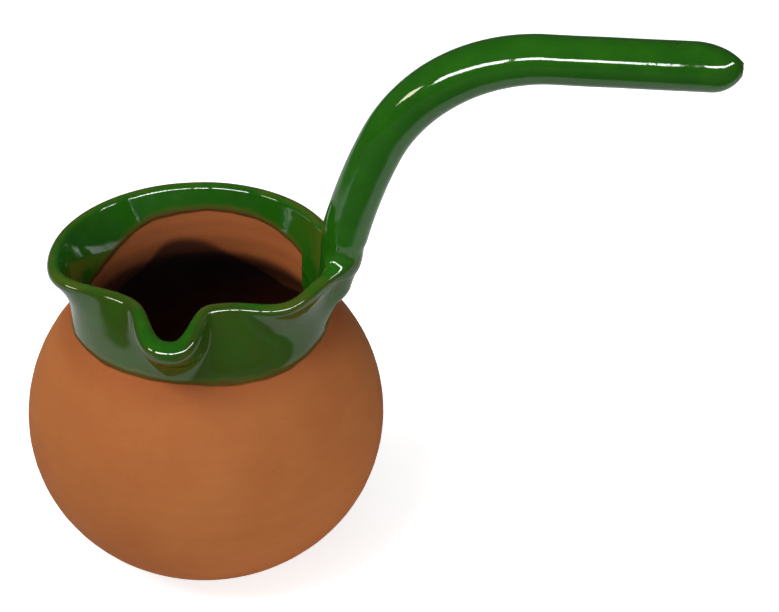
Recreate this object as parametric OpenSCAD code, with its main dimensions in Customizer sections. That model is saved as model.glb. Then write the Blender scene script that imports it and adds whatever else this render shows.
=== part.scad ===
// Clay coffee pot with a round belly, a flared and glazed collar, a pinched spout and a long bent handle.
// Millimetres, +Z up. The origin is the middle of the base. The handle points to +X and the spout to -Y.

/* [Belly] */
// Greatest radius of the belly
belly_r = 48; // [44:0.5:54]
// Height of the widest ring above the base
belly_mid = 38.3; // [34:0.1:42]
// Radius of the flat base
base_r = 24; // [18:0.5:30]
// Height from the widest ring to the crease where the collar starts
shoulder_h = 33.5; // [30:0.1:36]
// Thickness of the belly's wall
belly_wall = 4.5; // [3:0.1:6]
// Thickness of the floor
floor_t = 6; // [4:0.5:9]

/* [Collar] */
// Outer radius of the neck at the crease
neck_r = 33.1; // [29:0.1:36]
// Thickness of the collar's wall at its foot
collar_wall = 3.6; // [2.6:0.1:4.6]
// Diameter of the round lip, to which the wall thins out
lip_wall = 2.8; // [2:0.1:4]
// Height from the crease to the middle of the lip
collar_h = 15.2; // [12:0.1:20]
// How far the lip flares out past the neck
flare = 4.75; // [2:0.05:7]
// How late the wall bends out on its way up, as a power
flare_power = 3; // [2:0.5:4]
// How far the rim leans away from the handle
rim_shift = 1.5; // [0:0.1:3]

/* [Spout] */
// Direction of the spout, where the handle is at 0
spout_angle = -89.5; // [-110:0.5:-70]
// How far the spout is pulled out from the pressed rim
spout_reach = 11.5; // [5:0.1:14]
// How far the lip drops at the spout
spout_drop = 4.1; // [0:0.1:6]
// Half angle of the spout on the side away from the handle
spout_far = 16.5; // [10:0.1:22]
// Half angle of the spout on the handle's side
spout_near = 12.2; // [9:0.1:20]
// How far the rim is pressed in beside the spout
pinch_depth = 9.8; // [0:0.1:12]
// Half angle of the pressed rim on the side away from the handle
pinch_far = 57.4; // [45:0.1:65]
// Half angle of the pressed rim on the handle's side
pinch_near = 43.4; // [36:0.1:50]

/* [Handle] */
// Diameter of the clay rod
handle_d = 11.4; // [9:0.1:14]
// How far the rim is drawn up into the handle
root_rise = 1.9; // [0:0.1:5]
// Half angle of the drawn-up rim
rise_spread = 21; // [12:1:28]
// How far the rim is drawn out under the handle
root_pull = 3.8; // [1:0.1:6]
// Half angle of the drawn-out rim
pull_spread = 13.4; // [9:0.1:20]
// Distance from the middle of the drawn-out lip to the axis of the rod's foot
root_offset = -3.25; // [-5:0.05:-1]
// How far the rod reaches down over the drawn-out lip
saddle = 8.8; // [6:0.1:11]
// How much thinner the rod is at its foot, on its radius
foot_thin = 3.2; // [2:0.1:4]
// Length over which the rod thins out to its foot
foot_len = 17; // [10:0.5:24]
// Radius of the stem's slow curve
stem_r = 150; // [100:1:200]
// Lean of the stem from upright at its foot
stem_from = 7.75; // [4:0.25:12]
// Lean of the stem where the tight bend starts
stem_to = 25; // [20:0.5:35]
// Radius of the tight bend
bend_r = 45.2; // [35:0.1:60]
// How much thicker the rod is in the middle of the bend, on its radius
bend_swell = 0.4; // [0:0.05:0.8]
// Length of the straight grip
grip_len = 36.2; // [20:0.1:60]
// Length of the grip's rounded end
tip_len = 10.6; // [7:0.1:16]
// How far the smeared clay stands out from the collar under the rod
slip_bulge = 4.4; // [4:0.1:6]
// Half angle that the smeared clay takes up
slip_spread = 9; // [6:0.5:12]

/* [Glaze] */
// Thickness of the glaze
glaze_t = 0.4; // [0.3:0.05:0.8]
// How far the glaze reaches down inside the rim, from the middle of the lip
glaze_inside = 5; // [3:0.5:8]
// How far the collar's glaze climbs the rod, from the rod's foot
glaze_climb = 17.5; // [15:0.5:24]
// Bare clay left between the glaze and the crease
glaze_gap = 0.2; // [0.1:0.05:0.6]

/* [Hidden] */

$fn = 96;
clay_colour = "#b5703f";
slip_colour = "#a9663a";
glaze_colour = "#2c6a1b";

// How sharply the pressed rim, the spout, the drawn-out root and the rod's thin foot end, as powers
pinch_power = 5.9;
spout_power = 2;
root_power = 2;
foot_power = 1.2;
// Share of the collar's height at which its wall starts to thin out
thin_from = 0.35;

// Angles round the collar: fine at the handle's root and at the spout, coarse elsewhere
fine_step = 2.5;
coarse_step = 5;
root_reach = 25;
spout_reach_angle = 40;
// Steps of wall between crease and lip, steps of wall inside, and step of angle round the lip
wall_steps = 5;
inner_steps = 2;
lip_step = 30;
// Least thickness of the smeared clay, as a share of its greatest, the share of the collar's height at which
// it is thickest, and how much of it is lost on the way up to the lip, with the power of that loss
slip_edge = 0.02;
slip_high = 0.75;
slip_fade = 0.71;
slip_fade_power = 4;
// Sides of the rod, and rings along its stem up to the seam, its stem, its bend and its end
rod_sides = 28;
seam_rings = 2;
stem_rings = 6;
bend_rings = 16;
tip_rings = 5;
// Share of the end's length that is left when its point is blunted
tip_blunt = 0.94;
// How deep the collar's foot sits in the belly's wall, and the belly's edge in the collar's, as shares
sink_share = 0.55;
lap_share = 0.15;
// Small steps for slopes of the wall
slope_t = 0.001;
slope_angle = 0.05;

// Heights of the crease and of the middle of the lip
neck_z = belly_mid + shoulder_h;
lip_z = neck_z + collar_h;
// The collar's wall starts inside the belly's wall, and the belly stops inside the collar's wall
collar_sink = sink_share * belly_wall;
collar_foot = neck_z - collar_sink;
neck_mid = neck_r - collar_wall / 2;
belly_lap = lap_share * collar_wall;
mouth_r = neck_r - collar_wall + belly_lap;

// Each half of the belly is an arc, upright at the widest ring: distance of its centre from the axis
function arc_centre(edge_r, edge_h) = (belly_r ^ 2 - edge_r ^ 2 - edge_h ^ 2) / (2 * (belly_r - edge_r));
upper_c = arc_centre(neck_r, shoulder_h);
lower_c = arc_centre(base_r, belly_mid);

// Angle brought to -180 up to 180
function wrap(angle) = ((angle % 360) + 540) % 360 - 180;
// Smooth rise from 0 to 1 and back, with its width and its sharpness
function swell(x, width, power) = exp(-pow(abs(x) / width, power));
// Smooth step from 0 to 1
function smooth(x) = let (s = max(0, min(1, x))) s * s * (3 - 2 * s);
function spout_swell(th) =
    let (d = wrap(th - spout_angle))
    swell(d, d < 0 ? spout_far : spout_near, spout_power);
function pinch_swell(th) =
    let (d = wrap(th - spout_angle))
    swell(d, d < 0 ? pinch_far : pinch_near, pinch_power);

// Radius and height of the middle of the lip at an angle
function lip_r(th) = neck_mid + flare - pinch_depth * pinch_swell(th)
    + spout_reach * spout_swell(th) + root_pull * swell(wrap(th), pull_spread, root_power);
function lip_h(th) = lip_z - spout_drop * spout_swell(th)
    + root_rise * swell(wrap(th), rise_spread, root_power);

// Middle of the collar's wall: t is 0 at its foot and 1 at the middle of the lip
function mid_wall(t, th) =
    let (bend = pow(t, flare_power), r = neck_mid + (lip_r(th) - neck_mid) * bend)
    [r * cos(th) - rim_shift * bend, r * sin(th), collar_foot + (lip_h(th) - collar_foot) * t];
// Half the wall's thickness
function half_wall(t) =
    (collar_wall + (lip_wall - collar_wall) * smooth((t - thin_from) / (1 - thin_from))) / 2;
function unit(v) = v / norm(v);
function wall_up(t, th) = unit(mid_wall(t + slope_t, th) - mid_wall(max(t - slope_t, 0), th));
function wall_out(t, th) =
    unit(cross(mid_wall(t, th + slope_angle) - mid_wall(t, th - slope_angle), wall_up(t, th)));

// Where the glaze starts on the outside and ends on the inside
function glaze_low(th) = (neck_z + glaze_gap - collar_foot) / (lip_h(th) - collar_foot);
function glaze_end(th) = 1 - glaze_inside / (lip_h(th) - collar_foot);
// Thickness of the smeared clay on the outside, which fills the hollow between the crease and the lip
function slip_t(share, th) =
    slip_bulge * max(sin(90 * min(share / slip_high, 1)), slip_edge)
    * (1 - slip_fade * pow(share, slip_fade_power)) * swell(wrap(th), slip_spread, root_power);
// Outside of the wall from the crease to the lip, under a coat, with or without slip
function outer_stretch(th, coat, slip) =
    [for (i = [0 : wall_steps])
        let (share = i / wall_steps, t = glaze_low(th) + (1 - glaze_low(th)) * share)
        mid_wall(t, th) + (half_wall(t) + coat + slip * slip_t(share, th)) * wall_out(t, th)];
// Inside of the wall, under a coat
function inner_point(t, th, coat) = mid_wall(t, th) - (half_wall(t) + coat) * wall_out(t, th);
// Points of one section of the glazed stretch
function glazed_stretch(th, coat, slip) = concat(
    outer_stretch(th, coat, slip),
    [for (a = [lip_step : lip_step : 180 - lip_step])
        mid_wall(1, th) + (half_wall(1) + coat) * (cos(a) * wall_out(1, th) + sin(a) * wall_up(1, th))],
    [for (i = [0 : inner_steps]) inner_point(1 + (glaze_end(th) - 1) * i / inner_steps, th, coat)]);

function clay_section(th) = concat(
    [mid_wall(0, th) + half_wall(0) * wall_out(0, th)],
    glazed_stretch(th, 0, 0),
    [inner_point(glaze_end(th) / 2, th, 0)],
    [inner_point(0, th, 0)]);
function reversed(list) = [for (i = [len(list) - 1 : -1 : 0]) list[i]];
function coat_section(th) =
    concat(glazed_stretch(th, glaze_t, 1), reversed(glazed_stretch(th, 0, 1)));
function slip_section(th) =
    concat(outer_stretch(th, 0, 1), reversed(outer_stretch(th, 0, 0)));

// Even steps from one angle up to the next, without the last
function steps(from, to, step) =
    let (n = ceil((to - from) / step))
    [for (i = [0 : n - 1]) from + (to - from) * i / n];
spout_from = spout_angle + 360 - spout_reach_angle;
spout_to = spout_angle + 360 + spout_reach_angle;
collar_angles = concat(
    steps(-root_reach, root_reach, fine_step),
    steps(root_reach, spout_from, coarse_step),
    steps(spout_from, spout_to, fine_step),
    steps(spout_to, 360 - root_reach, coarse_step));

// The handle's path in the plane y = 0: a slow arc, a tight arc and a straight grip
rod_r = handle_d / 2;
root_lip = mid_wall(1, 0);
root_x = root_lip[0] + root_offset;
root_z = root_lip[2] - saddle;
stem_cx = root_x + stem_r * cos(stem_from);
stem_cz = root_z - stem_r * sin(stem_from);
bend_cx = stem_cx - (stem_r - bend_r) * cos(stem_to);
bend_cz = stem_cz + (stem_r - bend_r) * sin(stem_to);
grip_z = bend_cz + bend_r;
grip_end = bend_cx + grip_len;

// Lean of the rod at the seam between the collar's glaze and the handle's
seam_lean = stem_from + glaze_climb / stem_r * 180 / PI;

// Radius of the stem, which thins out to its foot
function stem_radius(lean) =
    let (along = (lean - stem_from) * PI / 180 * stem_r)
    rod_r - foot_thin * pow(max(1 - along / foot_len, 0), foot_power);
// Stations along the rod: x, z, lean from upright and radius
function stem_stations(coat, from, to, count) =
    [for (i = [0 : count])
        let (lean = from + (to - from) * i / count)
        [stem_cx - stem_r * cos(lean), stem_cz + stem_r * sin(lean), lean, stem_radius(lean) + coat]];
function stations(coat, from) =
    let (
        r = rod_r + coat,
        tip = tip_len + coat,
        tip_arc = (r ^ 2 + tip ^ 2) / (2 * r))
    concat(
        stem_stations(coat, from, stem_to, stem_rings),
        [for (i = [1 : bend_rings])
            let (share = i / bend_rings, lean = stem_to + (90 - stem_to) * share)
            [bend_cx - bend_r * cos(lean), bend_cz + bend_r * sin(lean), lean, r + bend_swell * sin(180 * share)]],
        [for (i = [0 : tip_rings])
            let (d = tip * tip_blunt * sin(90 * i / tip_rings))
            [grip_end + d, grip_z, 90, sqrt(tip_arc ^ 2 - d ^ 2) - tip_arc + r]]);
function rod_ring(s) =
    [for (k = [0 : rod_sides - 1])
        let (a = 360 * k / rod_sides, inward = s[3] * cos(a))
        [s[0] - inward * cos(s[2]), s[3] * sin(a), s[1] + inward * sin(s[2])]];

// Side faces between two sections of the same size. After the point called turn a section runs back down
// along a wall, and its faces are split the other way, so that they lie on the faces of that wall.
function side_faces(from, to, size, turn) =
    [for (j = [0 : size - 1])
        let (up = (j + 1) % size)
        each j < turn
            ? [[from + j, from + up, to + up], [from + j, to + up, to + j]]
            : [[from + j, from + up, to + j], [from + up, to + up, to + j]]];

// Closed surface through sections that go once round the axis
module ring_of(sections, turn) {
    count = len(sections);
    size = len(sections[0]);
    polyhedron(
        points = [for (s = sections) each s],
        faces = [for (i = [0 : count - 1]) each side_faces(i * size, ((i + 1) % count) * size, size, turn)]);
}

// Closed surface through sections that start and end, where each is two rows of the same length
module strip_of(sections) {
    count = len(sections);
    size = len(sections[0]);
    last = (count - 1) * size;
    polyhedron(
        points = [for (s = sections) each s],
        faces = concat(
            [for (i = [0 : count - 2]) each side_faces(i * size, (i + 1) * size, size, size / 2)],
            [for (j = [0 : size / 2 - 2]) each end_faces(j, size, 0)],
            [for (j = [0 : size / 2 - 2]) each [for (f = end_faces(j, size, last)) reversed(f)]]));
}
function end_faces(j, size, at) =
    let (back = size - 1 - j)
    [[at + j, at + back, at + j + 1], [at + j + 1, at + back, at + back - 1]];

module collar_wall_solid() {
    sections = [for (th = collar_angles) clay_section(th)];
    ring_of(sections, len(sections[0]));
}

// Half outline of the belly's skin, moved in by an inset and cut off at a height
module belly_outline(inset, from_z) {
    intersection() {
        translate([upper_c, belly_mid]) circle(belly_r - upper_c - inset);
        translate([0, belly_mid]) square([belly_r, belly_r]);
    }
    intersection() {
        translate([lower_c, belly_mid]) circle(belly_r - lower_c - inset);
        translate([0, from_z]) square([belly_r, belly_mid - from_z]);
    }
}

module belly_solid() {
    rotate_extrude() difference() {
        belly_outline(0, 0);
        belly_outline(belly_wall, floor_t);
        translate([0, belly_mid]) square([mouth_r, belly_r]);
    }
}

// Closed surface through rings of the rod
module rod_through(stations) {
    rings = [for (s = stations) rod_ring(s)];
    last = (len(rings) - 1) * rod_sides;
    polyhedron(
        points = [for (s = rings) each s],
        faces = concat(
            [for (i = [0 : len(rings) - 2]) each side_faces(i * rod_sides, (i + 1) * rod_sides, rod_sides, rod_sides)],
            [[for (k = [rod_sides - 1 : -1 : 0]) k]],
            [[for (k = [0 : rod_sides - 1]) last + k]]));
}

module rod_solid() {
    rod_through(stations(0, stem_from));
}

// Smeared clay on the outside of the collar, under and beside the rod's foot
module slip_solid() {
    angles = concat(steps(-root_reach, root_reach, fine_step), [root_reach]);
    strip_of([for (th = angles) slip_section(th)]);
}

module pot() {
    color(clay_colour) union() {
        belly_solid();
        collar_wall_solid();
    }
}

module handle() {
    color(clay_colour) difference() {
        rod_solid();
        collar_wall_solid();
    }
}

module luting_slip() {
    color(slip_colour) difference() {
        slip_solid();
        rod_solid();
    }
}

module collar_glaze() {
    sections = [for (th = collar_angles) coat_section(th)];
    color(glaze_colour) difference() {
        union() {
            ring_of(sections, len(sections[0]) / 2);
            difference() {
                rod_through(stem_stations(glaze_t, stem_from, seam_lean, seam_rings));
                slip_solid();
                collar_wall_solid();
            }
        }
        rod_solid();
    }
}

module handle_glaze() {
    color(glaze_colour) difference() {
        rod_through(stations(glaze_t, seam_lean));
        rod_solid();
    }
}

pot();
handle();
luting_slip();
collar_glaze();
handle_glaze();
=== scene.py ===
"""Looks of a clay coffee pot: a bare thrown body with a glazed collar and handle, on a pale floor."""

import math

import bpy
import numpy as np
from mathutils import Matrix, Vector


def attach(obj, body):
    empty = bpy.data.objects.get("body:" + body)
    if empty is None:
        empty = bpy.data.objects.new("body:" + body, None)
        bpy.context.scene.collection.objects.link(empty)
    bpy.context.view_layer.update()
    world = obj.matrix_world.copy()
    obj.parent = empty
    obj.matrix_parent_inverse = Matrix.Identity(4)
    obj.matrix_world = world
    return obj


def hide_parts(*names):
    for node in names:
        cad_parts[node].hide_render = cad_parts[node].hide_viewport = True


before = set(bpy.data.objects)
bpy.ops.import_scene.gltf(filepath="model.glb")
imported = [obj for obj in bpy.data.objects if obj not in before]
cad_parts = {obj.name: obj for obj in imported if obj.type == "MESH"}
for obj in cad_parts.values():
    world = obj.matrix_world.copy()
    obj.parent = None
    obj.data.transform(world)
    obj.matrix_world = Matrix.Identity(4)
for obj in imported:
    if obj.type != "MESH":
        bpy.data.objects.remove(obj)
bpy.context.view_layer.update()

MM = 0.001

# Sizes of the CAD model, in millimetres and degrees: the belly
BELLY_R = 48.0
BELLY_MID = 38.3  # height of the widest ring
BASE_R = 24.0
SHOULDER_H = 33.5  # from the widest ring up to the neck
BELLY_WALL = 4.5
FLOOR_T = 6.0
# The collar
NECK_R = 33.1
COLLAR_WALL = 3.6
COLLAR_H = 15.2
LIP_WALL = 2.8
THIN_FROM = 0.35  # share of the height where the wall starts to thin
FLARE = 4.75
RIM_SHIFT = 1.5  # away from the handle
SINK_SHARE = 0.55  # of the belly's wall, from the neck down to the collar's foot
LAP_SHARE = 0.15  # of the collar's wall, from its inner side out to the belly's mouth
# The spout, and the pinch on both sides of it
SPOUT_ANGLE = -89.5
SPOUT_REACH = 11.5
SPOUT_DROP = 4.1
PINCH_DEPTH = 9.8
PINCH_FAR = 57.4  # degrees, on the side away from the handle
PINCH_NEAR = 43.4  # degrees, on the handle's side
PINCH_POWER = 5.9
# The rim at the handle's root
ROOT_RISE = 1.9
RISE_SPREAD = 21.0
ROOT_PULL = 3.8
PULL_SPREAD = 13.4
# The handle
HANDLE_D = 11.4
ROOT_OFFSET = -3.25  # from the lip to the foot
SADDLE = 8.8  # from the lip down to the foot
FOOT_THIN = 3.2
FOOT_LEN = 17.0
FOOT_POWER = 1.2
STEM_R = 150.0
STEM_FROM = 7.75
STEM_TO = 25.0
BEND_R = 45.2
BEND_SWELL = 0.4
GRIP_LEN = 36.2
TIP_LEN = 10.6
# The luting slip
SLIP_BULGE = 4.4
SLIP_SPREAD = 9.0
SLIP_HIGH = 0.75
SLIP_FADE = 0.71
SLIP_FADE_POWER = 4

# Shaping finer than the solids: the spout's steep round sides, its trough and its full lip
SPOUT_FAR = 15.7
FAR_POWER = 2.35
SPOUT_NEAR = 11.7
NEAR_POWER = 3.1
SPOUT_BELLY = 12.5  # how strongly the trough swells out under the lip
SPOUT_FULL = 1.2  # extra thickness of the lip
SPOUT_PULL = 0.8  # extra reach of the lip
FULL_RISE = (0.6, 0.95)  # shares of the height over which the lip gets its thickness
# The pinched wall beside the spout, and the wall's thinner inner side under the lip
PINCH_EARLY_FAR = 3.2
PINCH_EARLY_NEAR = 7.0
EARLY_BLEND = 10.0  # degrees on each side of the spout
INNER_THIN = 7.4
SIDE_BLEND = 0.6  # from the middle of the wall, where its inner side gives way to its outer one
# The collar's foot, which stands out a little all round and more on the right
SKIRT_ALL = 0.7
SKIRT = 1.1
SKIRT_AT = -48.0
SKIRT_WIDE = 29.0
SKIRT_FADE = (0.05, 0.65)  # shares of the height over which it runs out
# The slip, smoothed off a little, and let into the wall
SLIP_SHARE = 0.92
SLIP_BLEND = (-1.0, 1.5)
# The handle's end, drawn out further towards its upper far side, and its rounded foot
TIP_MEAN = 9.7
TIP_SKEW = 2.4
TIP_POWER = 0.64
TIP_CUT = 0.3
TIP_UP = (0.545, 0.838)
TIP_CORE = 3.0  # radius inside which the skew runs out
TIP_LIMIT = 0.9995  # keeps the taper's slope finite
FOOT_ROUND = 2.8
# Soft fillets where handle, collar and belly run together
ROOT_FILLET = 5.0
CREASE_FILLET = 0.4

BELL = 2  # power of a plain bell curve
NECK_Z = BELLY_MID + SHOULDER_H
LIP_Z = NECK_Z + COLLAR_H
COLLAR_FOOT = NECK_Z - SINK_SHARE * BELLY_WALL
NECK_MID = NECK_R - COLLAR_WALL / 2
MOUTH_R = NECK_R - COLLAR_WALL + LAP_SHARE * COLLAR_WALL
ROD_R = HANDLE_D / 2

# Steps for slopes, and for sliding along the collar's wall to the nearest point
SHARE_STEP = 1e-3
ANGLE_STEP = 0.05
SLIDES = 9
SLIDE_SHARE = 0.8
SLIDE_LIMIT = 3.0
FLATTEST = 0.1


def arc_centre(edge_r, edge_h):
    """Radius at which the belly's arc is centred, from its edge's radius and height."""
    return (BELLY_R ** 2 - edge_r ** 2 - edge_h ** 2) / (2 * (BELLY_R - edge_r))


UPPER_C = arc_centre(NECK_R, SHOULDER_H)
LOWER_C = arc_centre(BASE_R, BELLY_MID)


def smoothstep(lo, hi, x):
    s = np.clip((x - lo) / (hi - lo), 0, 1)
    return s * s * (3 - 2 * s)


def smooth_union(a, b, width):
    h = np.clip(0.5 + 0.5 * (b - a) / width, 0, 1)
    return b + (a - b) * h - width * h * (1 - h)


def wrap(angle):
    return (angle + 180) % 360 - 180


def swell(x, width, power):
    return np.exp(-(np.abs(x) / width) ** power)


def spout_share(angle):
    d = wrap(angle - SPOUT_ANGLE)
    return np.where(d < 0, swell(d, SPOUT_FAR, FAR_POWER), swell(d, SPOUT_NEAR, NEAR_POWER))


def pinch_share(angle):
    d = wrap(angle - SPOUT_ANGLE)
    return swell(d, np.where(d < 0, PINCH_FAR, PINCH_NEAR), PINCH_POWER)


def early(angle):
    """How strongly the wall moves before the lip's flare does: out at the spout, in at the pinch."""
    near = smoothstep(-EARLY_BLEND, EARLY_BLEND, wrap(angle - SPOUT_ANGLE))
    sooner = PINCH_EARLY_FAR + (PINCH_EARLY_NEAR - PINCH_EARLY_FAR) * near
    return SPOUT_BELLY * spout_share(angle) - sooner * pinch_share(angle)


def inner_thin(t):
    """How much is taken off the wall's inner side."""
    return INNER_THIN * (t ** 2 - t ** 3)


def lip(angle):
    """Radius and height of the middle of the lip at an angle."""
    spout = spout_share(angle)
    pull = swell(wrap(angle), PULL_SPREAD, BELL)
    rise = swell(wrap(angle), RISE_SPREAD, BELL)
    radius = NECK_MID + FLARE - PINCH_DEPTH * pinch_share(angle) + (SPOUT_REACH + SPOUT_PULL) * spout
    return radius + ROOT_PULL * pull, LIP_Z - SPOUT_DROP * spout + ROOT_RISE * rise


def half_wall(t):
    """Half the wall's thickness, which thins out towards the lip."""
    return (COLLAR_WALL + (LIP_WALL - COLLAR_WALL) * smoothstep(THIN_FROM, 1, t)) / 2


def mid_wall(t, angle):
    """Middle of the collar's wall: t is 0 at its foot and 1 at the middle of the lip."""
    radius, height = lip(angle)
    bend = t ** 3
    r = NECK_MID + (radius - NECK_MID) * bend + early(angle) * (t ** 2 - bend)
    a = np.radians(angle)
    return np.stack([r * np.cos(a) - RIM_SHIFT * bend, r * np.sin(a),
                     COLLAR_FOOT + (height - COLLAR_FOOT) * t], -1)


def wall_frame(t, angle):
    """Middle of the wall with its outward and upward directions."""
    up = mid_wall(t + SHARE_STEP, angle) - mid_wall(t - SHARE_STEP, angle)
    about = mid_wall(t, angle + ANGLE_STEP) - mid_wall(t, angle - ANGLE_STEP)
    out = np.cross(about, up)
    up = up / np.linalg.norm(up, axis=-1, keepdims=True)
    out = out / np.linalg.norm(out, axis=-1, keepdims=True)
    return mid_wall(t, angle), out, up


# The handle's path: a slow arc, a tight arc and a straight grip
root_lip = mid_wall(np.array([1.0]), np.array([0.0]))[0]
ROOT_X, ROOT_Z = root_lip[0] + ROOT_OFFSET, root_lip[2] - SADDLE
STEM_CX = ROOT_X + STEM_R * math.cos(math.radians(STEM_FROM))
STEM_CZ = ROOT_Z - STEM_R * math.sin(math.radians(STEM_FROM))
BEND_CX = STEM_CX - (STEM_R - BEND_R) * math.cos(math.radians(STEM_TO))
BEND_CZ = STEM_CZ + (STEM_R - BEND_R) * math.sin(math.radians(STEM_TO))
GRIP_Z = BEND_CZ + BEND_R
TIP_X = BEND_CX + GRIP_LEN + TIP_LEN


def nearest_on_wall(x, y, z):
    """The nearest point in the middle of the wall: its t and angle, how far it is and on which side."""
    p = np.stack([x, y, z], -1)
    t = np.clip((z - COLLAR_FOOT) / (LIP_Z - COLLAR_FOOT), 0, 1)
    angle = np.degrees(np.arctan2(y, x + RIM_SHIFT * t ** 3))
    for _ in range(SLIDES):
        a = np.radians(angle)
        radius, height = lip(angle)
        radius_b, height_b = lip(angle + ANGLE_STEP)
        soon, soon_b = early(angle), early(angle + ANGLE_STEP)
        bend, rise, reach = t ** 3, height - COLLAR_FOOT, radius - NECK_MID
        r = NECK_MID + reach * bend + soon * (t ** 2 - bend)
        r_t = 3 * t ** 2 * reach + soon * (2 * t - 3 * t ** 2)
        r_tt = 6 * reach * t + soon * (2 - 6 * t)
        r_a = ((radius_b - radius) * bend + (soon_b - soon) * (t ** 2 - bend)) / math.radians(ANGLE_STEP)
        h_a = (height_b - height) / math.radians(ANGLE_STEP) * t
        cos, sin = np.cos(a), np.sin(a)
        at = np.stack([r * cos - RIM_SHIFT * bend, r * sin, COLLAR_FOOT + rise * t], -1)
        by_t = np.stack([r_t * cos - 3 * RIM_SHIFT * t ** 2, r_t * sin, rise], -1)
        by_a = np.stack([r_a * cos - r * sin, r_a * sin + r * cos, h_a], -1)
        gap = p - at
        g_t, g_a = (gap * by_t).sum(-1), (gap * by_a).sum(-1)
        tt = (by_t * by_t).sum(-1) + np.maximum(r_tt * (r - np.hypot(x, y)), -rise ** 2 / 2)
        ta, aa = (by_t * by_a).sum(-1), (by_a * by_a).sum(-1)
        step_t = (aa * g_t - ta * g_a) / np.maximum(tt * aa - ta * ta, FLATTEST * tt * aa)
        new_t = np.clip(t + SLIDE_SHARE * step_t, 0, 1)
        step_a = (g_a - ta * (new_t - t)) / aa
        angle = angle + np.clip(SLIDE_SHARE * np.degrees(step_a), -SLIDE_LIMIT, SLIDE_LIMIT)
        t = new_t
    out = np.cross(by_a, by_t)
    out = out / np.linalg.norm(out, axis=-1, keepdims=True)
    gap = p - mid_wall(t, angle)
    return t, angle, np.linalg.norm(gap, axis=-1), (gap * out).sum(-1)


def slip_bulge(t, angle, height):
    """How far the luting slip stands out from the wall."""
    low = (NECK_Z - COLLAR_FOOT) / (height - COLLAR_FOOT)
    share = np.clip((t - low) / (1 - low), 0, 1)
    rise = np.sin(np.minimum(share / SLIP_HIGH, 1) * math.pi / 2)
    fade = 1 - SLIP_FADE * share ** SLIP_FADE_POWER
    return SLIP_BULGE * rise * fade * swell(wrap(angle), SLIP_SPREAD, BELL)


def collar_distance(x, y, z):
    """Distance to the collar's clay, side of its middle, angle and height of the lip there."""
    t, angle, away, side = nearest_on_wall(x, y, z)
    height = lip(angle)[1]
    outer = smoothstep(-SIDE_BLEND, SIDE_BLEND, side)
    full = SPOUT_FULL * spout_share(angle) * smoothstep(*FULL_RISE, t) - inner_thin(t) * (1 - outer)
    skirt = SKIRT_ALL + SKIRT * swell(wrap(angle - SKIRT_AT), SKIRT_WIDE, BELL)
    skirt = skirt * (1 - smoothstep(*SKIRT_FADE, t))
    slip = SLIP_SHARE * slip_bulge(t, angle, height) * smoothstep(*SLIP_BLEND, side)
    return away - half_wall(t) - full - skirt * outer - slip, side, angle, height


def belly_distance(x, y, z):
    """Distance to the upper belly's clay."""
    r = np.hypot(x, y)
    skin = np.hypot(r - UPPER_C, z - BELLY_MID) - (BELLY_R - UPPER_C)
    return np.maximum(np.maximum(skin, -skin - BELLY_WALL), MOUTH_R - r)


def rod_distance(x, y, z):
    """Distance to the handle's clay."""
    def to_arc(cx, cz, bend, lean_from, lean_to, thick):
        lean = np.clip(np.degrees(np.arctan2(z - cz, cx - x)), lean_from, lean_to)
        a = np.radians(lean)
        px, pz = cx - bend * np.cos(a), cz + bend * np.sin(a)
        return np.sqrt((x - px) ** 2 + y ** 2 + (z - pz) ** 2) - thick(lean)

    def stem_thick(lean):
        along = np.radians(lean - STEM_FROM) * STEM_R
        return ROD_R - FOOT_THIN * np.clip(1 - along / FOOT_LEN, 0, 1) ** FOOT_POWER

    def bend_thick(lean):
        return ROD_R + BEND_SWELL * np.sin(math.pi * (lean - STEM_TO) / (90 - STEM_TO))

    foot_lean = STEM_FROM + math.degrees(FOOT_ROUND / STEM_R)
    stem = to_arc(STEM_CX, STEM_CZ, STEM_R, foot_lean, STEM_TO, stem_thick)
    bend = to_arc(BEND_CX, BEND_CZ, BEND_R, STEM_TO, 90, bend_thick)
    rho = np.hypot(y, z - GRIP_Z)
    up = (y * TIP_UP[0] + (z - GRIP_Z) * TIP_UP[1]) / np.maximum(rho, TIP_CORE)
    length = TIP_MEAN + TIP_SKEW * up
    u = np.clip((x - TIP_X) / length + 1, 0, TIP_LIMIT)
    taper = (1 - u * u) ** TIP_POWER
    slope = ROD_R * 2 * TIP_POWER * u * taper / (1 - u * u) / length
    grip = (rho - ROD_R * taper) / np.sqrt(1 + slope ** 2)
    grip = np.maximum(np.where(x > TIP_X, np.hypot(x - TIP_X, rho), grip), x - TIP_X + TIP_CUT)
    before = np.minimum(x - BEND_CX, 0)
    grip = np.where(before < 0, np.hypot(before, rho) - ROD_R, grip)
    return np.minimum(np.minimum(stem, bend), grip)


# The glaze: its thickness and how uneven it is
GLAZE_T = 0.42
GLAZE_WAVE = 0.03
GLAZE_WAVE_LEN = 3.1
SKIN_T = 0.35
# Where it ends: how far under the crease outside, deeper where the collar's foot stands out
OUTER_LOW = -0.9
OUTER_DIP = -1.4
# How far under the lip inside, with two places where it ran deeper: depth, angle, width and power
INNER_DEPTH = 5.0
INNER_RUNS = ((6.6, 178.0, 44.0, 3), (5.4, 22.0, 33.0, 2))
ROOT_DEEP = 9.0
ROOT_EDGE = (30.0, 38.0)  # degrees on each side of the handle, where the deep part ends
# Ripples of its edge: height, times round and start
RIPPLES = ((0.07, 7, 0.4), (0.06, 13, 1.9), (0.04, 29, 0.0))
RIPPLE_INSIDE = 1.6
OUT_BLEND = (0.0, 1.0)  # from the middle of the wall, where the inner edge gives way to the outer one
# All of the rod is glazed, and what lies close to it
ROD_PAST = 2.0
ROD_FADE = 0.6
# At its edge the glaze tucks into the clay, and it is cut off a little further on
GLAZE_TUCK = 0.45
TUCK_FADE = (-0.7, 0.5)
TRIM = -1.0


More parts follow.
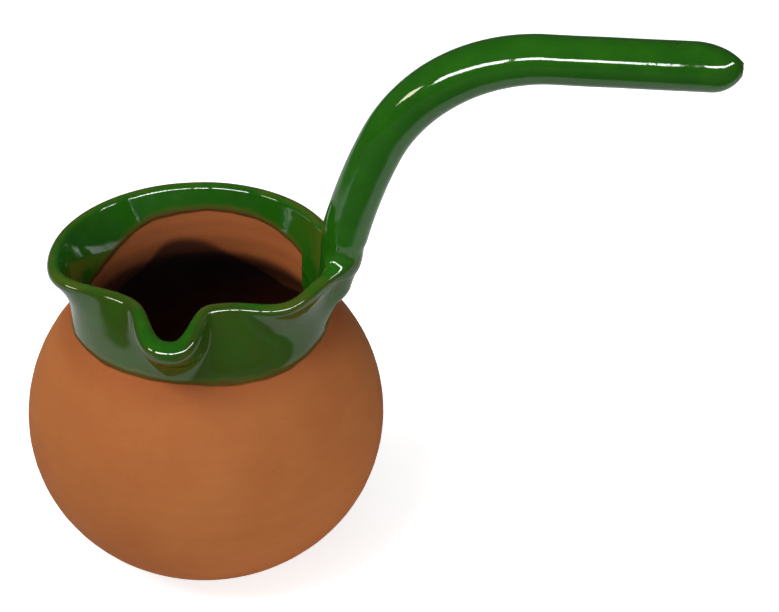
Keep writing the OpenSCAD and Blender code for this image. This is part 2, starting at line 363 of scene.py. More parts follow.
def waves(x, y, z, scale):
    """Sum of sines that never lines up, between about -1 and 1."""
    return (np.sin(x / scale + 1.3 * np.sin(z / scale * 0.7)) * 0.45
            + np.sin((y * 0.8 + z * 0.6) / scale * 1.3 + 2.1) * 0.35
            + np.sin((z - x * 0.7 + y * 0.4) / scale * 1.9 + 0.6) * 0.2)


def glaze_field(p):
    """Signed distance to the glaze's surface, and how far a point is from the glaze's edge."""
    x, y, z = p[:, 0], p[:, 1], p[:, 2]
    collar, side, angle, height = collar_distance(x, y, z)
    rod = rod_distance(x, y, z)
    clay = smooth_union(smooth_union(belly_distance(x, y, z), collar, CREASE_FILLET), rod, ROOT_FILLET)
    ripple = sum(high * np.sin(times * np.radians(angle) + start) for high, times, start in RIPPLES)
    low = NECK_Z + OUTER_LOW + OUTER_DIP * swell(wrap(angle - SKIRT_AT), SKIRT_WIDE, BELL) + ripple
    depth = INNER_DEPTH + RIPPLE_INSIDE * ripple
    for add, at, width, power in INNER_RUNS:
        depth = depth + add * swell(wrap(angle - at), width, power)
    depth = depth + ROOT_DEEP * (1 - smoothstep(*ROOT_EDGE, np.abs(wrap(angle))))
    out = smoothstep(*OUT_BLEND, side)
    past = (z - height + depth) * (1 - out) + (z - low) * out
    past = np.maximum(past, ROD_PAST - ROD_FADE * np.maximum(rod, 0))
    coat = -GLAZE_TUCK + (GLAZE_TUCK + GLAZE_T) * smoothstep(*TUCK_FADE, past)
    coat = coat + GLAZE_WAVE * waves(x, y, z, GLAZE_WAVE_LEN)
    return clay - coat, past


# The net of quads that is drawn over the glaze: its box and step, and the blocks it is worked out in
NET_LO = np.array([-44.0, -45.0, 66.0])
NET_HI = np.array([138.0, 43.0, 159.0])
NET_STEP = 0.55
NET_BLOCK = 16
NET_STEEP = 1.25
NET_SLACK = 1.0
# Moving its points onto the surface, and evening them out
PROBE = 0.02
LEAST_SLOPE = 0.2
LONGEST_MOVE = 0.4
EVEN_ROUNDS = 3
EVEN_SHARE = 0.5


def whole_steps(*counts):
    """Every triple of whole numbers below three counts."""
    return np.stack(np.meshgrid(*[np.arange(n) for n in counts], indexing="ij"), -1).reshape(-1, 3)


def net_values(field):
    """Values of the field on a grid, worked out only in the blocks that its surface may cross."""
    blocks = np.ceil((NET_HI - NET_LO) / NET_STEP / NET_BLOCK).astype(int)
    values = np.empty(blocks * NET_BLOCK + 1, np.float32)
    grid = whole_steps(*blocks)
    at_middle = field(NET_LO + (grid + 0.5) * NET_BLOCK * NET_STEP)[0]
    reach = 0.5 * NET_BLOCK * NET_STEP * math.sqrt(3) * NET_STEEP + NET_SLACK
    near = np.abs(at_middle) <= reach

    def block_at(corner):
        return tuple(slice(c, c + NET_BLOCK + 1) for c in corner)

    for corner, middle in zip(grid[~near] * NET_BLOCK, at_middle[~near]):
        values[block_at(corner)] = np.sign(middle) * reach
    block_shape = (NET_BLOCK + 1,) * 3
    local = whole_steps(*block_shape)
    for corner in grid[near] * NET_BLOCK:
        values[block_at(corner)] = field(NET_LO + (corner + local) * NET_STEP)[0].reshape(block_shape)
    return values


def net_points(values):
    """One point in each cell that the surface crosses, in grid steps, and each cell's number."""
    inside = values < 0
    corners = whole_steps(2, 2, 2)
    size = np.array(values.shape) - 1

    def shifted(corner):
        return inside[tuple(slice(c, c + n) for c, n in zip(corner, size))].astype(np.int8)

    count = sum(shifted(corner) for corner in corners)
    cells = np.argwhere((count > 0) & (count < len(corners)))
    number = np.full(size, -1, np.int32)
    number[tuple(cells.T)] = np.arange(len(cells))
    total, hits = np.zeros((len(cells), 3)), np.zeros(len(cells))
    for corner in corners:
        for axis in np.flatnonzero(corner == 0):
            far = corner.copy()
            far[axis] = 1
            here, there = values[tuple((cells + corner).T)], values[tuple((cells + far).T)]
            cross = (here < 0) != (there < 0)
            share = np.where(cross, here / np.where(cross, here - there, 1), 0)
            point = cells + corner + share[:, None] * (far - corner)
            total += np.where(cross[:, None], point, 0)
            hits += cross
    return total / hits[:, None], number


def net_quads(values, number):
    """A quad round each edge of the grid that the surface crosses, turned to face outwards."""
    inside = values < 0
    quads = []
    for axis in range(3):
        u, v = (axis + 1) % 3, (axis + 2) % 3
        first = [slice(1, -1)] * 3
        first[axis] = slice(0, -1)
        second = list(first)
        second[axis] = slice(1, None)
        crossed = inside[tuple(first)] != inside[tuple(second)]
        at_edge = np.argwhere(crossed) + np.where(np.arange(3) == axis, 0, 1)
        ring = []
        for du, dv in ((1, 1), (0, 1), (0, 0), (1, 0)):
            cell = at_edge.copy()
            cell[:, u] -= du
            cell[:, v] -= dv
            ring.append(number[tuple(cell.T)])
        ring = np.stack(ring, -1)
        starts_in = inside[tuple(at_edge.T)]
        quads.append(np.where(starts_in[:, None], ring, ring[:, ::-1]))
    return np.concatenate(quads)


def settle(field, points, rounds):
    """Moves points onto the field's zero surface, and gives the directions out of it."""
    for _ in range(rounds):
        here = field(points)[0]
        slope = np.stack([field(points + PROBE * way)[0] - here for way in np.eye(3)], -1) / PROBE
        size = np.maximum((slope ** 2).sum(1), LEAST_SLOPE)
        points = points - np.clip(here / size, -LONGEST_MOVE, LONGEST_MOVE)[:, None] * slope
    return points, slope / np.sqrt(size)[:, None]


def neighbour_mean(points, quads):
    """Mean of each point's neighbours along the edges."""
    total = np.zeros_like(points)
    count = np.zeros(len(points))
    for a, b in ((0, 1), (1, 2), (2, 3), (3, 0)):
        for i, j in ((a, b), (b, a)):
            for k in range(points.shape[1]):
                total[:, k] += np.bincount(quads[:, i], points[quads[:, j], k], len(points))
            count += np.bincount(quads[:, i], minlength=len(points))
    return total / np.maximum(count, 1)[:, None]


def new_piece(name, points, faces, material, slot):
    mesh = bpy.data.meshes.new(name)
    mesh.from_pydata((np.asarray(points) * MM).tolist(), [], faces)
    mesh.polygons.foreach_set("use_smooth", [True] * len(mesh.polygons))
    mesh.materials.append(material)
    mesh.update()
    piece = bpy.data.objects.new(name, mesh)
    bpy.context.scene.collection.objects.link(piece)
    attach(piece, "root")
    return piece


def set_attribute(piece, name, values):
    layer = piece.data.attributes.new(name, "FLOAT", "POINT")
    layer.data.foreach_set("value", np.asarray(values, np.float32))


class Graph:
    """Node graph of one material."""

    def __init__(self, name):
        self.material = bpy.data.materials.new(name)
        self.material.use_nodes = True
        self.tree = self.material.node_tree
        self.tree.nodes.clear()
        self.shader = self.add("ShaderNodeBsdfPrincipled")
        output = self.add("ShaderNodeOutputMaterial")
        self.tree.links.new(self.shader.outputs["BSDF"], output.inputs["Surface"])
        self.place = self.add("ShaderNodeTexCoord").outputs["Object"]

    def feed(self, socket, value):
        if isinstance(value, bpy.types.NodeSocket):
            self.tree.links.new(value, socket)
        else:
            socket.default_value = value

    def add(self, kind, inputs=None, **settings):
        node = self.tree.nodes.new(kind)
        for key, value in settings.items():
            setattr(node, key, value)
        for key, value in (inputs or {}).items():
            self.feed(node.inputs[key], value)
        return node

    def set(self, **values):
        """Sets the shader's own sockets."""
        for key, value in values.items():
            self.feed(self.shader.inputs[key.replace("_", " ")], value)

    def noise(self, scale, detail, rough, vector=None):
        node = self.add("ShaderNodeTexNoise", {"Vector": vector or self.place, "Scale": scale,
                                               "Detail": detail, "Roughness": rough})
        return node.outputs["Fac"]

    def math(self, operation, a, b=0.0, clamp=False):
        return self.add("ShaderNodeMath", {0: a, 1: b}, operation=operation, use_clamp=clamp).outputs[0]

    def remap(self, value, lo, hi, to_lo=0.0, to_hi=1.0):
        node = self.add("ShaderNodeMapRange", {"Value": value, "From Min": lo, "From Max": hi,
                                               "To Min": to_lo, "To Max": to_hi})
        node.interpolation_type = "SMOOTHSTEP"
        return node.outputs["Result"]

    def mix(self, factor, a, b):
        node = self.add("ShaderNodeMix", {"Factor": factor}, data_type="RGBA")
        for name, value in (("A", a), ("B", b)):
            socket = [s for s in node.inputs if s.name == name and s.type == "RGBA"][0]
            self.feed(socket, (*value, 1.0) if isinstance(value, tuple) else value)
        return [s for s in node.outputs if s.type == "RGBA"][0]

    def layered(self, colour, shows, layers):
        """Lays colours over the first, each with what shows it, from where to where and at most how much."""
        for key, lo, hi, most, over in layers:
            colour = self.mix(self.remap(shows[key], lo, hi, 0.0, most), colour, over)
        return colour

    def bumps(self, shows, depths):
        """Bumps on top of each other, each with its strength and its depth in metres."""
        inputs = {}
        for key, strength, depth in depths:
            inputs.update({"Height": shows[key], "Strength": strength, "Distance": depth})
            inputs["Normal"] = self.add("ShaderNodeBump", inputs).outputs["Normal"]
        return inputs["Normal"]

    def attribute(self, name):
        return self.add("ShaderNodeAttribute", attribute_name=name).outputs["Fac"]


# Bare clay: colours
CLAY_WARM = (0.43, 0.141, 0.039)
CLAY_DEEP = (0.37, 0.114, 0.030)
CLAY_PALE = (0.46, 0.174, 0.056)
CLAY_RED = (0.36, 0.105, 0.033)
CLAY_FLUSH = (0.31, 0.078, 0.022)
CLAY_FOOT = (0.33, 0.091, 0.026)
CLAY_SPECK = (0.20, 0.07, 0.03)
# Painted shade for the unglazed inside
CLAY_PAINTED_SHADE = (0.065, 0.014, 0.003)
# Noises: scale, detail and roughness
CLAY_LINES = {"lines": (420.0, 5.0, 0.65), "broad_lines": (95.0, 3.0, 0.5)}
CLAY_NOISES = {"clouds": (22.0, 3.0, 0.55), "patches": (70.0, 4.0, 0.6),
               "grain": (1500.0, 3.0, 0.7), "specks": (620.0, 2.0, 0.5)}
CLAY_CLOUDS = (0.32, 0.68)
# Lines left by the wheel: how far they drift, how they cross the base, and how long they are drawn
DRIFT_NOISE, LINE_DRIFT = (14.0, 2.0, 0.55), 0.006
LINE_CROSS, LINE_LONG = 0.6, 0.02
# The redder clay under the glaze's edge: the heights over which it comes, and how ragged it is
FLUSH_RISE = (0.060, 0.071)
FLUSH_NOISE, FLUSH_RAGGED = (60.0, 3.0, 0.55), 0.6
CLAY_LAYERS = (("patches", 0.4, 0.75, 0.35, CLAY_PALE),
               ("lines", 0.35, 0.7, 0.22, CLAY_RED),
               ("broad_lines", 0.45, 0.75, 0.25, CLAY_DEEP),
               ("flush", 0.55, 1.5, 0.75, CLAY_FLUSH),
               ("height", 0.034, 0.0, 0.4, CLAY_FOOT),
               ("specks", 0.70, 0.80, 0.4, CLAY_SPECK),
               ("grain", 0.3, 0.7, 0.16, CLAY_PALE))
CLAY_BUMPS = (("lines", 0.22, 0.0004), ("grain", 0.3, 0.00012), ("patches", 0.12, 0.0006))
CLAY_ROUGH = (0.3, 0.7, 0.72, 0.88)
CLAY_GLOSS = 0.07


def clay_material(name):
    g = Graph(name)
    split = g.add("ShaderNodeSeparateXYZ", {"Vector": g.place})
    x, y, z = (split.outputs[axis] for axis in "XYZ")
    flat = g.add("ShaderNodeCombineXYZ", {"X": x, "Y": y}).outputs[0]
    radius = g.add("ShaderNodeVectorMath", {0: flat}, operation="LENGTH").outputs["Value"]
    drift = g.math("MULTIPLY", g.noise(*DRIFT_NOISE), LINE_DRIFT)
    height = g.math("ADD", g.math("ADD", z, drift), g.math("MULTIPLY", radius, LINE_CROSS))
    along = g.add("ShaderNodeCombineXYZ", {"X": g.math("MULTIPLY", x, LINE_LONG), "Z": height}).outputs[0]
    shows = {key: g.noise(*noise, along) for key, noise in CLAY_LINES.items()}
    shows.update({key: g.noise(*noise) for key, noise in CLAY_NOISES.items()})
    ragged = g.math("MULTIPLY", g.noise(*FLUSH_NOISE), FLUSH_RAGGED)
    shows["flush"] = g.math("ADD", g.remap(z, *FLUSH_RISE), ragged)
    shows["height"] = z
    colour = g.mix(g.remap(shows["clouds"], *CLAY_CLOUDS), CLAY_DEEP, CLAY_WARM)
    colour = g.layered(colour, shows, CLAY_LAYERS)
    # Painted shade on the unglazed inside, dark below the edge of the front lip's shadow
    colour = g.mix(g.attribute("inside"), colour, CLAY_PAINTED_SHADE)
    g.set(Base_Color=colour, Normal=g.bumps(shows, CLAY_BUMPS), Specular_IOR_Level=CLAY_GLOSS,
          Roughness=g.remap(shows["patches"], *CLAY_ROUGH))
    return g.material


# Green glaze: colours
GLAZE_GREEN = (0.017, 0.118, 0.004)
GLAZE_DEEP = (0.011, 0.088, 0.003)
GLAZE_LIGHT = (0.026, 0.140, 0.005)
# Olive of thin glaze, darkened with painted shade
GLAZE_THIN_AND_SHADE = (0.034, 0.050, 0.005)
GLAZE_OLIVE = (0.075, 0.095, 0.009)
GLAZE_BROWN = (0.085, 0.040, 0.009)
GLAZE_PIT = (0.02, 0.03, 0.004)
# Noises: scale, detail and roughness
GLAZE_NOISES = {"clouds": (28.0, 3.0, 0.55), "runs": (130.0, 4.0, 0.6),
                "fine": (700.0, 3.0, 0.6), "pits": (330.0, 2.0, 0.5)}
NOISE_MEAN = 0.5
GLAZE_CLOUDS = (0.3, 0.7)
THIN_AND_SHADE_OUTSIDE = 0.7
WEAR_RUNS, WEAR_FINE = 0.8, 0.3
EDGE_WEAR = {"olive": 0.8, "brown": 0.7}
GLAZE_LAYERS = (("runs", 0.42, 0.72, 0.4, GLAZE_LIGHT),
                ("fine", 0.4, 0.8, 0.2, GLAZE_DEEP),
                ("lean", 0.1, 0.9, 0.75, GLAZE_THIN_AND_SHADE),
                ("olive", 0.25, 0.85, 0.8, GLAZE_OLIVE),
                ("brown", 0.62, 1.0, 0.75, GLAZE_BROWN),
                ("pits", 0.72, 0.78, 0.6, GLAZE_PIT),
                ("thin", 0.985, 1.0, 0.9, CLAY_FLUSH))
GLAZE_BUMPS = (("runs", 0.035, 0.0012), ("pits", 0.05, 0.0006))
GLAZE_ROUGH, THIN_ROUGH = (0.3, 0.8, 0.045, 0.11), (0.8, 1.0, 0.0, 0.5)
GLAZE_GLOSS = (0.68, 0.93, 0.5, 0.03)
GLAZE_IOR = 1.56


def glaze_material(name):
    g = Graph(name)
    edge, thin, outside = (g.attribute(key) for key in ("edge", "thin", "outside"))
    shows = {key: g.noise(*noise) for key, noise in GLAZE_NOISES.items()}
    shows["thin"] = thin
    runs, fine = (g.math("SUBTRACT", shows[key], NOISE_MEAN) for key in ("runs", "fine"))
    # The glaze lies thinner outside the collar and at the foot of the handle, turning olive, and painted
    # shade darkens it there
    shows["lean"] = g.math("ADD", g.math("MULTIPLY", outside, THIN_AND_SHADE_OUTSIDE), runs)
    # Thin glaze turns olive, then lets the brown clay through
    wear = g.math("ADD", g.math("MULTIPLY", runs, WEAR_RUNS), g.math("MULTIPLY", fine, WEAR_FINE))
    for key, share in EDGE_WEAR.items():
        worn = g.math("MAXIMUM", g.math("MULTIPLY", edge, share), thin)
        shows[key] = g.math("ADD", worn, wear, True)
    colour = g.mix(g.remap(shows["clouds"], *GLAZE_CLOUDS), GLAZE_DEEP, GLAZE_GREEN)
    colour = g.layered(colour, shows, GLAZE_LAYERS)
    rough = g.math("ADD", g.remap(shows["fine"], *GLAZE_ROUGH), g.remap(thin, *THIN_ROUGH))
    g.set(Base_Color=colour, Roughness=rough, Normal=g.bumps(shows, GLAZE_BUMPS), IOR=GLAZE_IOR,
          Specular_IOR_Level=g.remap(thin, *GLAZE_GLOSS))
    return g.material


clay = clay_material("bare_clay")
green = glaze_material("green_glaze")

# The thrown body: rows of points from the middle of the base, over the lip, to the middle of the floor
ROUND_STEPS = 320
POLE_R = 2.0
BASE_ROWS = 16
FOOT_FROM, FOOT_TO, FOOT_ROWS = 0.5, 12.0, 20
BELLY_FROM, BELLY_ROWS = 13.0, 60
COLLAR_ROWS, LIP_TURN = 14, 22.5
INNER_LOW, INNER_ROWS = 0.04, 22
INSIDE_DROP, INSIDE_ROWS = 0.4, 56
FLOOR_ROWS = 14
# Corners that are rounded off: rows before and after each, and how often they are averaged
BASE_SPAN, BASE_SOFT = (3, 3), 5
NECK_SPAN, FLOOR_SPAN, INNER_SOFT = (6, 7), (6, 5), 8
# Unevenness of a pot that was thrown by hand: share, times round, climb and start of each wave
BODY_WAVES = ((0.5, 2, 31.0, 0.7), (0.3, 3, -17.0, -1.1), (0.2, 5, 11.0, 2.0))
BODY_RIDGES = ((0.5, 1, 0.42, 0.0), (0.5, 2, 0.83, 1.0))
INNER_RIDGES = ((1.0, 1, 0.75, 0.0),)
CLAY_WAVE, THROW_RIDGE, INNER_RIDGE = 0.1, 0.03, 0.05
BASE_FADE, NECK_FADE, FLOOR_FADE = (1.0, 7.0), 6.0, 4.0
INSIDE_LEAD = 14  # rows of the bare inside that lie on the collar
# Painted shade inside the pot: height and angle of its highest place, and how it falls away to both sides
SHADE_TOP, SHADE_AT, SHADE_DEEP = 75.6, 113.0, 14.0
SHADE_LEFT, SHADE_RIGHT, SHADE_REACH, SHADE_POWER = 25.0, 44.0, 1.1, 2.2
SHADE_BELOW, SHADE_ABOVE = 1.8, 0.8

angles = np.arange(ROUND_STEPS) * 360 / ROUND_STEPS
turn = np.radians(angles)


def turned(r, z):
    return np.stack([r * np.cos(turn), r * np.sin(turn), np.full(ROUND_STEPS, z)], -1)


def belly_radius(z, inset=0.0):
    centre = UPPER_C if z >= BELLY_MID else LOWER_C
    return centre + math.sqrt(max((BELLY_R - centre - inset) ** 2 - (z - BELLY_MID) ** 2, 0))


def base_rows():
    return [turned(r, 0.0) for r in np.linspace(POLE_R, BASE_R, BASE_ROWS)]


def belly_rows():
    foot = np.linspace(FOOT_FROM, FOOT_TO, FOOT_ROWS)
    belly = np.linspace(BELLY_FROM, NECK_Z, BELLY_ROWS)
    return [turned(belly_radius(z), z) for z in np.concatenate([foot, belly])]


def collar_rows():
    """Up the collar's outside, over its lip and down its inside."""
    rows = []
    low = (NECK_Z - COLLAR_FOOT) / (LIP_Z - COLLAR_FOOT)
    for t in np.linspace(low, 1, COLLAR_ROWS)[1:]:
        at, out, _ = wall_frame(np.full(ROUND_STEPS, t), angles)
        rows.append(at + half_wall(t) * out)
    at, out, up = wall_frame(np.ones(ROUND_STEPS), angles)
    for tilt in np.radians(np.arange(LIP_TURN, 180, LIP_TURN)):
        rows.append(at + half_wall(1) * (math.cos(tilt) * out + math.sin(tilt) * up))
    for t in np.linspace(1, INNER_LOW, INNER_ROWS):
        at, out, _ = wall_frame(np.full(ROUND_STEPS, t), angles)
        rows.append(at - (half_wall(t) - inner_thin(t)) * out)
    return rows


def inside_rows():
    inner_r = NECK_MID - COLLAR_WALL / 2
    inner_top = BELLY_MID + math.sqrt((BELLY_R - UPPER_C - BELLY_WALL) ** 2 - (inner_r - UPPER_C) ** 2)
    heights = np.linspace(inner_top - INSIDE_DROP, FLOOR_T, INSIDE_ROWS)
    return [turned(belly_radius(z, BELLY_WALL), z) for z in heights]


def floor_rows():
    edge = belly_radius(FLOOR_T, BELLY_WALL)
    return [turned(r, FLOOR_T) for r in np.linspace(edge, POLE_R, FLOOR_ROWS)[1:]]


def soften(rows, corner, span, rounds):
    """Rounds off a corner of the profile by averaging each row near it with the rows beside it."""
    start, stop = corner - span[0], corner + span[1]
    for _ in range(rounds):
        part = rows[start - 1:stop + 1]
        rows[start:stop] = (part[:-2] + 2 * part[1:-1] + part[2:]) / 4


def climbing(table, heights):
    """Sum of waves that run round the pot and climb it."""
    return sum(share * np.sin(times * turn + start + heights / climb) for share, times, climb, start in table)


def ring_faces(rows):
    """Quads between the rows, and fans round the two points that follow them."""
    near = np.arange(ROUND_STEPS)
    after = (near + 1) % ROUND_STEPS
    faces = []
    for a in np.arange(rows - 1) * ROUND_STEPS:
        b = a + ROUND_STEPS
        faces += np.stack([a + near, a + after, b + after, b + near], -1).tolist()
    first_pole, last_pole, last_row = rows * ROUND_STEPS, rows * ROUND_STEPS + 1, (rows - 1) * ROUND_STEPS
    faces += [[first_pole, j, i] for i, j in zip(near.tolist(), after.tolist())]
    faces += [[last_pole, last_row + i, last_row + j] for i, j in zip(near.tolist(), after.tolist())]
    return faces


sections = [base_rows(), belly_rows(), collar_rows(), inside_rows(), floor_rows()]
base_to, belly_to, collar_to, inside_to, _ = np.cumsum([len(rows) for rows in sections])
body = np.stack(sum(sections, []))
soften(body, base_to, BASE_SPAN, BASE_SOFT)
soften(body, collar_to, NECK_SPAN, INNER_SOFT)
soften(body, inside_to, FLOOR_SPAN, INNER_SOFT)
body[:base_to - BASE_SPAN[0], :, 2] = 0

# Uneven on the belly and inside, but not where it stands or under the glaze
outward = np.cross(np.roll(body, -1, 1) - np.roll(body, 1, 1), np.gradient(body, axis=0))
outward /= np.linalg.norm(outward, axis=-1, keepdims=True)
heights = body[..., 2]
row = np.arange(len(body))[:, None]
on_outside = (row >= base_to) & (row < belly_to)
on_inside = row >= collar_to - INSIDE_LEAD
fade = smoothstep(*BASE_FADE, heights) * (1 - smoothstep(NECK_Z - NECK_FADE, NECK_Z, heights))
uneven = CLAY_WAVE * climbing(BODY_WAVES, heights) + THROW_RIDGE * climbing(BODY_RIDGES, heights)
spiral = INNER_RIDGE * climbing(INNER_RIDGES, heights) * smoothstep(FLOOR_T, FLOOR_T + FLOOR_FADE, heights)
lift = np.where(on_inside, spiral, np.where(on_outside, uneven * fade, 0))
body = body + lift[..., None] * outward

poles = [[0, 0, 0], [0, 0, FLOOR_T]]
pot_points = np.concatenate([body.reshape(-1, 3), poles])
pot_body = new_piece("pot_body", pot_points, ring_faces(len(body)), clay, "terracotta")
# Painted shade inside the pot: dark below an edge that is highest at SHADE_AT
off = wrap(angles - SHADE_AT)
aside = np.minimum(np.abs(off) / np.where(off > 0, SHADE_LEFT, SHADE_RIGHT), SHADE_REACH)
shade = SHADE_TOP - SHADE_DEEP * aside ** SHADE_POWER
inside = on_inside * (1 - smoothstep(shade - SHADE_BELOW, shade + SHADE_ABOVE, body[..., 2]))
set_attribute(pot_body, "inside", np.append(inside.ravel(), [0, 1]))
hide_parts("pot")


# The glaze: one skin over the collar and the handle
def glaze_surface():
    """Points, outward directions and quads of the glaze, cut off where it ends."""
    values = net_values(glaze_field)
    points, number = net_points(values)
    points, quads = NET_LO + points * NET_STEP, net_quads(values, number)
    keep = (glaze_field(points)[1] > TRIM)[quads].all(1)
    used, quads = np.unique(quads[keep], return_inverse=True)
    points, quads = points[used], quads.reshape(-1, 4)
    points, normals = settle(glaze_field, points, 3)
    for _ in range(EVEN_ROUNDS):
        pull = neighbour_mean(points, quads) - points
        pull -= (pull * normals).sum(1, keepdims=True) * normals
        points, normals = settle(glaze_field, points + EVEN_SHARE * pull, 1)
    points, normals = settle(glaze_field, points, 2)
    return points, normals, quads


def closed_skin(points, normals, quads):
    """A thin closed skin: the surface, a copy behind it, and walls along the open edges."""
    count = len(points)
    sides = np.sort(np.concatenate([quads[:, [a, (a + 1) % 4]] for a in range(4)]), 1)
    lines, uses = np.unique(sides, axis=0, return_counts=True)
    open_lines = {tuple(pair) for pair in lines[uses == 1].tolist()}
    faces = quads.tolist() + (quads[:, ::-1] + count).tolist()
    for a in range(4):
        for i, j in quads[:, [a, (a + 1) % 4]].tolist():
            if (min(i, j), max(i, j)) in open_lines:
                faces.append([j, i, i + count, j + count])
    return np.concatenate([points, points - SKIN_T * normals]), faces


def convexity(points, normals, quads):
    """How sharply the surface turns outwards, evened out over the neighbours."""
    convex = -((neighbour_mean(points, quads) - points) * normals).sum(1) / NET_STEP ** 2
    for _ in range(CONVEX_ROUNDS):
        convex = neighbour_mean(convex[:, None], quads)[:, 0]
    return convex


CONVEX_ROUNDS = 12
EDGE_CONVEX = (0.04, 0.12)
# The top of the handle's bend, where the glaze ran off: the way it faces, its height and where it ends
CREST_WAY = np.array([-0.15, 0.55, 0.82])
CREST_FACING, CREST_RISE, CREST_END = (0.84, 0.98), (110.0, 130.0), (85.0, 125.0)
CREST_WEAR = 0.9
# The outside of the collar, and the handle up to some height, where thin glaze and painted shade darken the
# green
OUTSIDE_FROM, OUTSIDE_TOP = (0.0, 1.2), (98.0, 135.0)
THIN_EDGE = (0.2, 4.0)  # distances from the glaze's edge over which it thickens

points, normals, quads = glaze_surface()
glaze = new_piece("glaze", *closed_skin(points, normals, quads), green, "green_glaze")
crest = smoothstep(*CREST_FACING, normals @ CREST_WAY) * smoothstep(*CREST_RISE, points[:, 2])
crest = crest * (1 - smoothstep(*CREST_END, points[:, 0]))
edge = np.maximum(smoothstep(*EDGE_CONVEX, convexity(points, normals, quads)), CREST_WEAR * crest)
outside = smoothstep(*OUTSIDE_FROM, collar_distance(*points.T)[1])
outside = outside * (1 - smoothstep(*OUTSIDE_TOP, points[:, 2]))
thin = 1 - smoothstep(*THIN_EDGE, glaze_field(points)[1])
for name, values in (("edge", edge), ("outside", outside), ("thin", thin)):
    set_attribute(glaze, name, np.tile(values, 2))
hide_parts("collar_glaze", "handle_glaze")

# The handle's clay core and its luting slip are right as solids, and get the clay's look
for name in ("handle", "luting_slip"):
    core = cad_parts[name]
    core.data.materials.clear()
    core.data.materials.append(clay)

# A pale floor with painted shade, dark in front of the pot and left of it, in metres
FLOOR_HALF = 4.0
FLOOR_FRONT, FLOOR_SLANT = (-0.11, -0.15), -0.4
FLOOR_LEFT = (-0.3, -0.65)
FLOOR_GREY = (0.74, 0.75, 0.75)
FLOOR_PALE = (0.78, 0.79, 0.79)
FLOOR_PAINTED_SHADE = (0.05, 0.05, 0.05)
FLOOR_NOISE = (3.0, 2.0, 0.55)
FLOOR_ROUGH = 0.9
FLOOR_LIFT = 0.75  # light that only the camera sees


def floor_material():
    g = Graph("pale_floor")
    place = g.add("ShaderNodeSeparateXYZ", {"Vector": g.place})
    front = g.math("ADD", place.outputs["Y"], g.math("MULTIPLY", place.outputs["X"], FLOOR_SLANT))
    shade = g.mix(g.noise(*FLOOR_NOISE), FLOOR_GREY, FLOOR_PALE)
    # Painted shade on the floor in front and to the left, which the glaze reflects
    ends = g.math("MAXIMUM", g.remap(front, *FLOOR_FRONT), g.remap(place.outputs["X"], *FLOOR_LEFT))
    g.set(Base_Color=g.mix(ends, shade, FLOOR_PAINTED_SHADE), Roughness=FLOOR_ROUGH, Emission_Color=(1, 1, 1, 1))
    seen = g.add("ShaderNodeLightPath").outputs["Is Camera Ray"]
    g.set(Emission_Strength=g.math("MULTIPLY", seen, FLOOR_LIFT))
    return g.material


mesh = bpy.data.meshes.new("floor")
mesh.from_pydata([(-FLOOR_HALF, -FLOOR_HALF, 0), (FLOOR_HALF, -FLOOR_HALF, 0),
                  (FLOOR_HALF, FLOOR_HALF, 0), (-FLOOR_HALF, FLOOR_HALF, 0)], [], [(0, 1, 2, 3)])
mesh.materials.append(floor_material())
floor = bpy.data.objects.new("floor", mesh)
bpy.context.scene.collection.objects.link(floor)

# A dim room
ROOM_GLOW = 0.055
world = bpy.data.worlds.new("room")
bpy.context.scene.world = world
world.use_nodes = True
room = world.node_tree.nodes["Background"]
room.inputs["Color"].default_value = (1, 1, 1, 1)
room.inputs["Strength"].default_value = ROOM_GLOW

# Light, in metres: a key in front and above, soft light from the left and from above, a low fill in front
LAMPS = {"key": (((-0.65, -0.65, 1.5), (-0.25, -0.85, 1.5)), 0.45, 10.2),
         "left": (((-1.35, 0.05, 1.35), (-0.85, -0.75, 1.35)), 1.0, 5.8),
         "top": (((-0.95, -0.4, 1.6), (0.65, -0.4, 1.6)), 1.6, 0.95),
         "fill": (((0.4, -1.44, 0.28), (1.47, -0.7, 0.28)), 0.5, 5.4)}
# Bars that are seen in the glaze, round the pot: angle and height of both ends, and how tall each is
BAR_FAR, BAR_GLOW = 1.4, 24.0
BARS = {"bar_left": ((-40.0, 0.73), (-9.5, 0.86), 0.25),
        "bar_middle": ((-5.6, 0.87), (6.6, 0.88), 0.25),
        "bar_right": ((10.2, 0.88), (60.0, 0.86), 0.2),
        "bar_side": ((61.0, 0.86), (98.0, 0.91), 0.1)}
WARM_ENDS, WARM_TALL = ((-68.0, 0.61), (-54.0, 0.67)), 0.2
WARM_GLOW, WARM_LIGHT = 16.0, (1.0, 0.92, 0.70)
CENTRE = Vector((0.03, 0.0, 0.09))


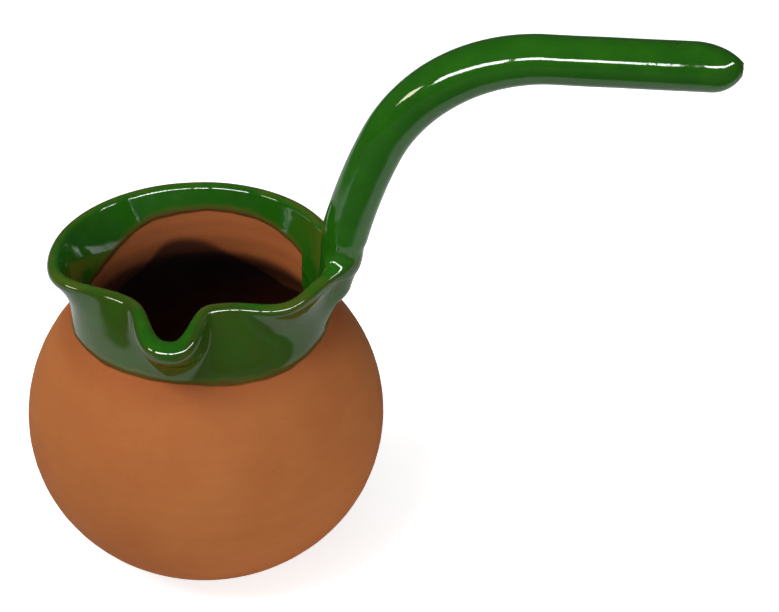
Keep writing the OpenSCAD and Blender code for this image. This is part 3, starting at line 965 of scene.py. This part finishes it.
def lamp(name, ends, tall, glow, in_reflections):
    """A rectangle that shines at the middle of the pot, with the ends of its middle line given."""
    light = bpy.data.lights.new(name, "AREA")
    light.shape = "RECTANGLE"
    first, last = Vector(ends[0]), Vector(ends[1])
    light.size, light.size_y = (last - first).length, tall
    light.energy = glow * math.pi * light.size * tall
    along = (last - first).normalized()
    back = (first + last) / 2 - CENTRE
    back = (back - back.dot(along) * along).normalized()
    axes = Matrix((along, back.cross(along), back)).transposed()
    obj = bpy.data.objects.new(name, light)
    obj.matrix_world = Matrix.Translation((first + last) / 2) @ axes.to_4x4()
    obj.visible_glossy = in_reflections
    obj.visible_diffuse = not in_reflections
    bpy.context.scene.collection.objects.link(obj)
    return light


def round_pot(around, height):
    return BAR_FAR * math.sin(math.radians(around)), -BAR_FAR * math.cos(math.radians(around)), height


for name, (ends, tall, glow) in LAMPS.items():
    lamp(name, ends, tall, glow, False)
for name, (start, end, tall) in BARS.items():
    lamp(name, (round_pot(*start), round_pot(*end)), tall, BAR_GLOW, True)
lamp("bar_warm", [round_pot(*end) for end in WARM_ENDS], WARM_TALL, WARM_GLOW, True).color = WARM_LIGHT

# The camera as fitted to the photograph
AZIMUTH, ELEVATION, DISTANCE = math.radians(6), math.radians(33), 0.6
FOCAL_PX, WIDTH_PX, SENSOR = 2270.4, 779, 36.0
CLIP_FROM = 0.01
TARGET = Vector((0.04943, 0.005195, 0.07212))
toward = Vector((math.sin(AZIMUTH) * math.cos(ELEVATION), -math.cos(AZIMUTH) * math.cos(ELEVATION),
                    math.sin(ELEVATION)))
lens = bpy.data.cameras.new("camera")
lens.sensor_fit = "HORIZONTAL"
lens.sensor_width = SENSOR
lens.lens = FOCAL_PX / WIDTH_PX * SENSOR
lens.clip_start = CLIP_FROM
camera = bpy.data.objects.new("camera", lens)
camera.location = TARGET + toward * DISTANCE
camera.rotation_euler = (-toward).to_track_quat("-Z", "Y").to_euler()
bpy.context.scene.collection.objects.link(camera)
bpy.context.scene.camera = camera
bpy.context.scene.view_settings.view_transform = "Standard"
